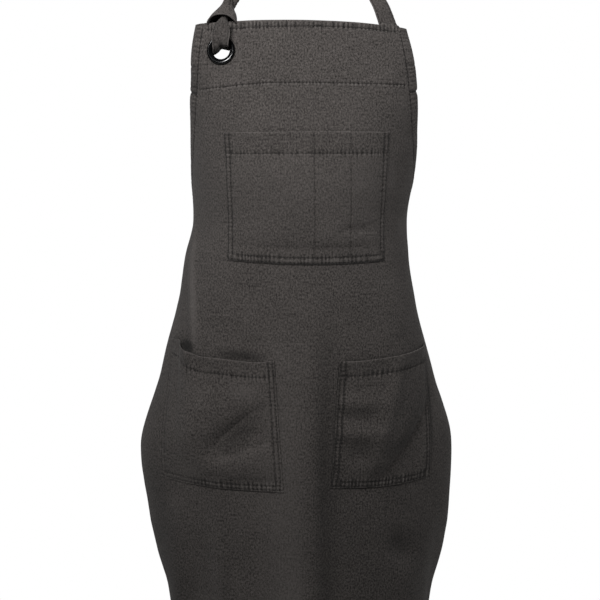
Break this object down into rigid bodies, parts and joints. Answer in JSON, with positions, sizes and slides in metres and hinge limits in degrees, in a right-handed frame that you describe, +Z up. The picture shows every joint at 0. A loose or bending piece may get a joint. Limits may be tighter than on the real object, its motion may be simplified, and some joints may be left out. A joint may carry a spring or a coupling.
{
  "type": "bib apron",
  "caption": "Charcoal denim bib apron in its worn form, with patch pockets, a neck strap knotted through a metal eyelet, and waist ties knotted behind.",
  "frame": {"origin": "middle of the neck strap's inner face at the nape, where the apron hangs", "axes": "+Z up, front of the apron towards -Y, +X to the right as seen from the front"},
  "size_m": [0.4064, 0.246, 1.0128],
  "materials": {
    "denim": "matte twill, garment washed",
    "strap": "matte twill, folded and stitched",
    "eyelet": "glossy black"
  },
  "bodies": {
    "root": {"apron_panel": "denim", "bib_facing": "denim", "chest_pocket": "denim", "hip_pocket_left": "denim", "hip_pocket_right": "denim", "eyelet_ring": "eyelet", "eyelet_washer": "eyelet", "neck_strap": "strap", "strap_knot": "strap", "waist_tie_left": "strap", "waist_tie_right": "strap", "waist_tie_knot": "strap"}
  },
  "joints": []
}
